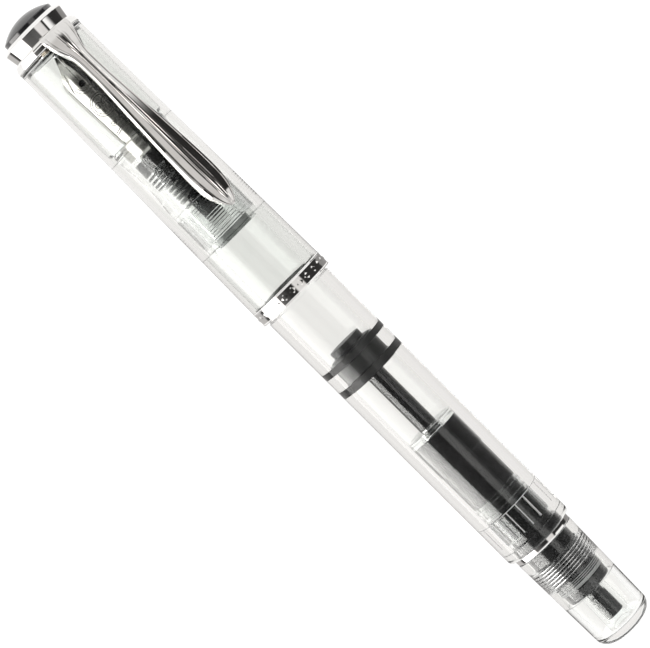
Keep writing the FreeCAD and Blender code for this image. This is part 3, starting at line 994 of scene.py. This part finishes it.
def makeFeed():
    low, high, _ = span("feed")
    lip = span("grip_section")[1]
    collarLow, collarHigh, _ = span("nib_collar")
    core, neck, throat = feed["stem"], feed["neck"], feed["throat"]
    stem = turn("feed", soften([
        (0, low), (core, low, 0.1), (core, collarLow + 0.1), (neck, collarLow + 0.15),
        (neck, collarHigh + 0.6), (throat, collarHigh + 0.8), (throat, lip), (0, lip)]))
    leafLow, wide = lip + 1.2, feed["front"]
    front = turn("feedFront", soften([
        (0, lip - 0.5), (wide, lip - 0.5), (wide, leafLow), (1.9, 66.0), (1.5, 69.6, 0.6),
        (feed["nose"], high, 0.3), (0, high)]), 64)
    flattenSides(front, feed["frontWidth"])
    turnNib(front)
    disc = turn("feedFin", finOutline(core - 0.2, feed["finRadius"], feed["finLow"],
                                      feed["finWide"]), 64)
    fins = repeated("feedFins", disc, feed["fins"], 0, feed["finPitch"], "feed")
    leaf = turn("feedLeaf", finOutline(1.2, feed["frontRadius"], leafLow, feed["leafThick"]), 48)
    flattenSides(leaf, feed["frontWidth"] + 0.05)
    leaves = repeated("feedLeaves", leaf, feed["frontFins"], 0, feed["frontPitch"], "feed")
    turnNib(leaves)
    join(stem, front, fins, leaves)
    place(stem, "feed", "barrel", "feed_black", "feed")


collar = {"bore": 1.7, "crest": 2.37, "groove": -0.16, "pitch": 0.72, "plain": 2.0}


def makeNibCollar():
    low, high, _ = span("nib_collar")
    crest, bore = collar["crest"], collar["bore"]
    top = high - collar["plain"]
    outline = [(bore, low), (crest, low)] + threadedWall(crest, low + 0.1, top, collar["pitch"])
    outline += [(crest, high - 0.03), (bore, high - 0.03)]
    thread = {"root": crest, "depth": collar["groove"], "pitch": collar["pitch"],
              "top": top, "low": low + 0.1, "sharp": 5}
    body = turn("nibCollar", outline, 120, thread)
    place(body, "black", "barrel", "black_plastic", "nib_collar")


section = {"nibBore": 2.35, "bore": 2.75, "sealBore": 3.3, "tail": 4.13, "shoulder": 45.0,
           "waist": 0.46, "wide": 4.9, "lip": 4.78, "mouth": 4.5, "sealHole": 2.3}


def makeSection():
    low, high, _ = span("grip_section")
    bore, sealBore, nibBore = section["bore"], section["sealBore"], section["nibBore"]
    tail, shoulder, wide = section["tail"], section["shoulder"], section["wide"]
    sealLow, sealHigh, sealRadius = span("nib_seal")
    collarLow = span("nib_collar")[0]
    waist = [(wide - section["waist"] * math.sin(math.pi * t / 24) ** 1.3 - 0.0075 * t,
              shoulder + 0.1 + (high - shoulder - 1.0) * t / 24) for t in range(25)]
    outline = soften([
        (bore, sealHigh + 0.06, 0.05), (sealBore, sealHigh + 0.06, 0.1), (sealBore, low, 0.05),
        (tail, low, 0.05), (tail, shoulder), (wide - 0.05, shoulder)]) + waist
    outline += soften([
        (section["lip"] - 0.04, high - 0.75), (section["lip"], high - 0.3, 0.2),
        (section["mouth"], high, 0.12), (nibBore, high, 0.12), (nibBore, collarLow - 0.05),
        (bore, collarLow - 0.1)])
    grip = turn("gripSection", outline, 160)
    place(grip, "clear", "barrel", "clear_plastic", "grip_section")
    hole, foot = section["sealHole"], sealLow + 0.02
    ring = turn("nibSeal", soften([
        (hole, foot, 0.1), (sealRadius, foot, 0.15), (sealRadius, sealHigh, 0.15),
        (hole, sealHigh, 0.1)]))
    place(ring, "seal", "barrel", "seal_grey", "nib_seal")


makeNibUnit()
makeFeed()
makeNibCollar()
makeSection()
print("nib unit and section made")


barrel = {"bore": 4.17, "recess": 4.4, "threadRoot": 4.84, "threadDepth": 0.11,
          "threadTop": 44.4, "threadLow": 38.45, "pitch": cap["pitch"], "shoulder": 45.0,
          "capped": 5.68, "step": 37.8, "belowBand": 0.4}


def makeBarrel():
    low, _, radius = span("barrel")
    flange = span("rear_bush")[1]
    seat = span("cap_band")[0] - barrel["belowBand"]
    bore, recess, capped = barrel["bore"], barrel["recess"], barrel["capped"]
    root, step = barrel["threadRoot"], barrel["step"]
    outline = soften([
        (bore, barrel["shoulder"]), (bore, flange, 0.05), (recess, flange - 0.02, 0.05),
        (recess, low, 0.1), (radius, low, 0.6), (radius, seat, 0.04),
        (capped, seat + 0.02, 0.04), (capped, step, 0.15), (root, step + 0.05)])
    outline += threadedWall(root, barrel["threadLow"], barrel["threadTop"], barrel["pitch"])
    outline += [(root, barrel["shoulder"] - 0.05)]
    tube = turn("barrel", outline, 168, threadOf(barrel))
    place(tube, "clear", "barrel", "clear_plastic", "barrel")


makeBarrel()
print("barrel made")


piston = {"lip": 4.20, "waist": 4.0, "sealBore": 3.3, "core": 3.28, "shoulder": 2.95,
          "hub": 2.75, "step": 3.72, "rodBore": 1.06, "nutFlat": 2.9}
sleeve = {"slim": 4.0, "neck": 3.71, "bore": 3.3, "step": -8.7}
washer = {"bore": 1.54, "play": 0.02, "chamfer": 0.14, "rim": 1.9}


def makePiston():
    low, high, _ = span("piston_seal")
    lip, waist, bore = piston["lip"], piston["waist"], piston["sealBore"]
    seal = turn("pistonSeal", soften([
        (bore, low), (lip - 0.1, low, 0.03), (lip, low + 0.12, 0.05), (lip, low + 1.3, 0.05),
        (waist, low + 1.38, 0.08), (waist, high - 1.18, 0.08), (lip, high - 1.12, 0.05),
        (lip, high - 0.12, 0.05), (lip - 0.1, high, 0.03), (bore, high)]))
    place(seal, "rubber", "piston", "black_rubber", "piston_seal")
    coreLow, nose, _ = span("piston_core")
    wide, step, hub = piston["core"], piston["step"], piston["hub"]
    core = turn("pistonCore", soften([
        (0, coreLow + 0.02), (wide, coreLow + 0.02), (wide, high - 0.2), (step, high - 0.04),
        (step, high + 0.16, 0.08), (piston["shoulder"], high + 0.3, 0.05), (hub, high + 0.36),
        (hub, nose, 0.1), (0, nose)]))
    place(core, "rubber", "piston", "black_plastic", "piston_core")
    rodLow, rodHigh, radius = span("piston_rod")
    hole, flat = piston["rodBore"], piston["nutFlat"] * mm
    rod = turn("pistonRod", soften([
        (hole, rodLow), (radius, rodLow, 0.05), (radius, rodHigh - 0.05), (0, rodHigh - 0.02),
        (0, rodHigh - 1.5), (hole, rodHigh - 1.6)]), 96)
    place(rod, "black", "piston", "black_plastic", "piston_rod")
    nutLow, nutHigh, nutRadius = span("rod_nut")
    nut = turn("rodNut", soften([
        (radius - 0.02, nutLow, 0.05), (nutRadius, nutLow, 0.2), (nutRadius, nutHigh, 0.2),
        (radius - 0.02, nutHigh, 0.05)]), 96)
    for vert in nut.data.vertices:                # two flats keep the nut from turning
        vert.co.y = max(-flat, min(flat, vert.co.y))
    place(nut, "black", "piston", "black_plastic", "rod_nut")


def makeGuide():
    low, high, radius = span("guide_ring")
    bore, foot, side = washer["bore"], low + 0.02, radius - washer["play"]
    slim = radius - washer["chamfer"]
    ring = turn("guideRing", soften([
        (bore, foot, 0.1), (side, foot, 0.06), (side, low + 0.62, 0.05),
        (slim, low + 0.7, 0.05), (slim, high - 0.12, 0.1), (washer["rim"], high, 0.1),
        (bore, high, 0.1)]))
    place(ring, "liner", "barrel", "clear_liner", "guide_ring")
    sleeveLow, sleeveHigh, wide = span("guide_sleeve")
    collarTop = span("ribbed_collar")[1]
    bore, step, slim, neck = sleeve["bore"], sleeve["step"], sleeve["slim"], sleeve["neck"]
    tube = turn("guideSleeve", soften([
        (bore, sleeveLow), (neck, sleeveLow, 0.05), (neck, collarTop - 0.02),
        (slim, collarTop + 0.02, 0.05), (slim, step - 0.02, 0.03), (wide, step + 0.02, 0.03),
        (wide, sleeveHigh, 0.08), (bore, sleeveHigh)]))
    place(tube, "black", "barrel", "black_plastic", "guide_sleeve")


ribs = {"count": 16, "wide": 0.12, "low": -22.42, "top": -18.5, "reach": 4.2, "bore": 3.75,
        "wall": 3.93, "crest": 4.14, "rings": ((-18.0, -17.46), (-16.58, -16.07)),
        "hoop": 0.1, "soft": 0.02}


def makeRibbedCollar():
    low, high, _ = span("ribbed_collar")
    bore, wall, crest = ribs["bore"], ribs["wall"], ribs["crest"]
    outline = [(bore, low, 0.03), (wall, low, 0.05)]
    for start, end in ribs["rings"]:
        outline += [(wall, start, 0.03), (crest, start, 0.05), (crest, end, 0.05),
                    (wall, end, 0.03)]
    outline += [(wall, high, 0.05), (bore, high, 0.03)]
    body = turn("ribbedCollar", soften(outline))
    place(body, "liner", "barrel", "clear_liner", "ribbed_collar")
    half, root, reach, soft = ribs["wide"] / 2, wall - 0.02, ribs["reach"], ribs["soft"]
    top, hoopTop = ribs["top"], ribs["top"] + ribs["hoop"]
    # the ribs and the hoop are real, but their white finish is painted highlight for the glints
    # along their edges
    rib = block("collarRib", (root, -half, ribs["low"]), (reach, half, top), soft)
    spin(rib, math.pi / ribs["count"])
    row = repeated("collarRibs", rib, ribs["count"], 2 * math.pi / ribs["count"], 0, "paintedGlint")
    hoop = turn("collarHoop", soften([(root, top, soft), (reach, top, soft),
                                      (reach, hoopTop, soft), (root, hoopTop, soft)], 2))
    hoop.data.materials.append(finishes["paintedGlint"])
    join(row, hoop)
    place(row, None, "barrel", "clear_liner")


makePiston()
makeGuide()
makeRibbedCollar()
print("piston and guide made")


knob = {"pitch": 0.5, "starts": 2, "threadTop": -28.2, "threadLow": -32.3, "bore": 4.35,
        "threadRoot": 4.34, "threadDepth": -0.15, "bottom": 1.4, "side": 4.79, "round": 2.1,
        "floor": 3.7, "socketBore": 1.52}
bush = {"root": 3.85, "bore": 3.3, "floor": -28.4, "hole": 1.56, "threadWire": 0.17,
        "rings": [("bushFineRings", 4, 0.3, 0.07, 1.3), ("bushEndRings", 2, 0.2, 0.09, 0.26)]}
trimRing = {"bore": 3.88, "edge": 0.02}


def makeRearBush():
    low, high, radius = span("rear_bush")
    flangeLow = span("knob_trim_ring")[1]
    root, floor, bore, hole = bush["root"], bush["floor"], bush["bore"], bush["hole"]
    stub = turn("rearBush", soften([
        (bore, high), (radius, high, 0.12), (radius, flangeLow + 0.02, 0.06),
        (root, flangeLow + 0.02), (root, low, 0.08), (hole, low, 0.06), (hole, floor),
        (bore, floor)]))
    lead = knob["pitch"] * knob["starts"]
    length = knob["threadTop"] - knob["threadLow"]
    threads = []
    for start in range(knob["starts"]):
        line = wound("rearBushThread%d" % start, length / lead, root + 0.02, length,
                     knob["threadLow"], bush["threadWire"], "black")
        spin(line, 2 * math.pi * start / knob["starts"])
        threads.append(line)
    join(stub, *threads)
    place(stub, "black", "barrel", "black_plastic", "rear_bush")
    # white rings round the threaded stub: painted highlight for the bright lines that glint on its
    # threads
    rings = []
    for name, count, step, wide, rise in bush["rings"]:
        top, inner, outer = low + rise, root - 0.05, root + 0.07
        ring = turn(name + "Seed", soften([
            (inner, top), (outer, top, 0.02), (outer, top - wide, 0.02),
            (inner, top - wide)], 2), 120)
        rings.append(repeated(name, ring, count, 0, -step, "paintedGlint"))
    join(*rings)
    place(rings[0], None, "barrel", "black_plastic")
    ringLow, ringHigh, ringRadius = span("knob_trim_ring")
    bore, side = trimRing["bore"], ringRadius - trimRing["edge"]
    trim = turn("knobTrimRing", soften([
        (bore, ringLow), (side, ringLow, 0.1), (ringRadius, (ringLow + ringHigh) / 2, 2),
        (side, ringHigh, 0.1), (bore, ringHigh)]), turns=192)
    place(trim, "chrome", "barrel", "chrome_trim", "knob_trim_ring")


def makeKnob():
    low, top, radius = span("filler_knob")
    thrustLow = span("thrust_washer")[0]
    ceiling = span("knob_socket")[0] - knob["bottom"]
    bore, side, rounding = knob["bore"], knob["side"], knob["round"]
    outline = soften([(bore, top), (radius, top, 0.1), (side, low + rounding)])
    for step in range(1, 19):                     # a broad, even rounding to a flat end
        turned = step / 18 * math.pi / 2
        outline.append((side * math.cos(turned) ** 0.55,
                        low + rounding - rounding * math.sin(turned) ** 1.15))
    outline[-1] = (0, low)
    outline += soften([(0, ceiling), (knob["floor"], ceiling, 0.6), (bore - 0.12, thrustLow, 0.05),
                       (bore, thrustLow + 0.05), (bore, knob["threadLow"] - 0.4),
                       (knob["threadRoot"], knob["threadLow"] - 0.1)])
    outline += threadedWall(knob["threadRoot"], knob["threadLow"], knob["threadTop"],
                            knob["pitch"])
    outline += [(bore, knob["threadTop"] + 0.3)]
    body = turn("fillerKnob", outline, 168, threadOf(knob))
    place(body, "clear", "knob", "clear_plastic", "filler_knob")
    _, socketHigh, socketRadius = span("knob_socket")
    hole, foot = knob["socketBore"], ceiling + 0.02
    socket = turn("knobSocket", soften([
        (hole, foot), (socketRadius, foot), (socketRadius - 0.1, socketHigh, 0.1),
        (hole, socketHigh, 0.1)]), 96)
    place(socket, "liner", "knob", "clear_liner", "knob_socket")


spindleLook = {"neck": 1.32, "stem": 0.92, "shoulder": -28.6, "starts": 3, "lead": 4.56,
               "wire": 0.13, "washerBore": 1.62}


def makeSpindle():
    low, high, head = span("spindle")
    neck, slim, shoulder = spindleLook["neck"], spindleLook["stem"], spindleLook["shoulder"]
    washerLow, washerHigh, washerRadius = span("thrust_washer")
    stem = turn("spindle", soften([
        (0, low), (head, low, 0.1), (head, washerLow - 1.6, 0.05), (neck, washerLow - 1.4, 0.05),
        (neck, washerLow - 0.5, 0.05), (head, washerLow - 0.3, 0.05), (head, shoulder, 0.05),
        (slim, shoulder + 0.02), (slim, high, 0.2), (0, high)]), 72)
    length = high - shoulder - 1.5
    starts = []
    for start in range(spindleLook["starts"]):
        line = wound("spindleStart%d" % start, length / spindleLook["lead"], slim - 0.05,
                     length, shoulder + 0.6, spindleLook["wire"], "black")
        spin(line, 2 * math.pi * start / spindleLook["starts"])
        starts.append(line)
    join(stem, *starts)
    place(stem, "black", "knob", "black_plastic", "spindle")
    hole = spindleLook["washerBore"]
    thrust = turn("thrustWasher", soften([
        (hole, washerLow), (washerRadius - 0.12, washerLow, 0.1),
        (washerRadius, washerHigh - 0.25, 0.2), (washerRadius, washerHigh, 0.06),
        (hole, washerHigh)]))
    place(thrust, "black", "knob_lift", "black_plastic", "thrust_washer")


makeRearBush()
makeKnob()
makeSpindle()
print("filler knob made")
